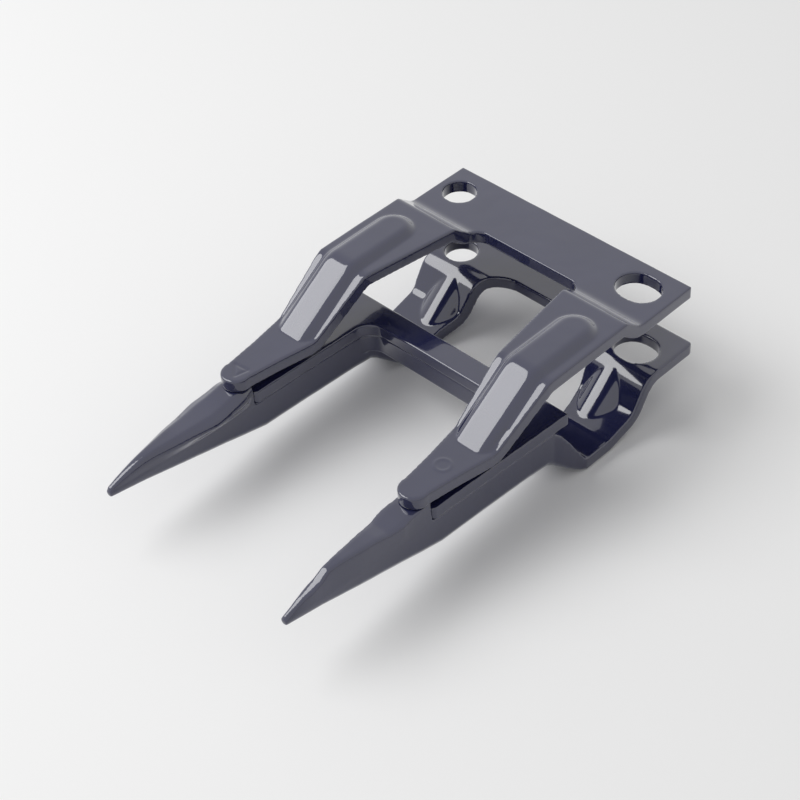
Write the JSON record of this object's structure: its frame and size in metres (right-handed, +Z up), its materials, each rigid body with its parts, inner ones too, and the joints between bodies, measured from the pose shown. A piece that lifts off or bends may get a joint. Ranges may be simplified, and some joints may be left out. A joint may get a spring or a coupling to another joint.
{
  "type": "mower guard finger",
  "caption": "Double knife guard for a sickle-bar mower: a bolt plate with raised arms over a ledger plate, closed by pointed fingers.",
  "frame": {"origin": "midway between the round and the slotted bolt hole, on the top face of the upper plate", "axes": "+X along the row of bolt holes towards the slotted one, +Y towards the rear of the cutter bar, so the fingers point along -Y, +Z up"},
  "size_m": [0.097, 0.1708, 0.0509],
  "materials": {
    "upper_guard": "gloss",
    "ledger_plate": "gloss",
    "lower_guard": "gloss",
    "left_tip_weld": "gloss",
    "right_tip_weld": "gloss"
  },
  "bodies": {
    "root": {"upper_guard": "upper_guard", "ledger_plate": "ledger_plate", "lower_guard": "lower_guard", "left_tip_weld": "left_tip_weld", "right_tip_weld": "right_tip_weld"}
  },
  "joints": []
}
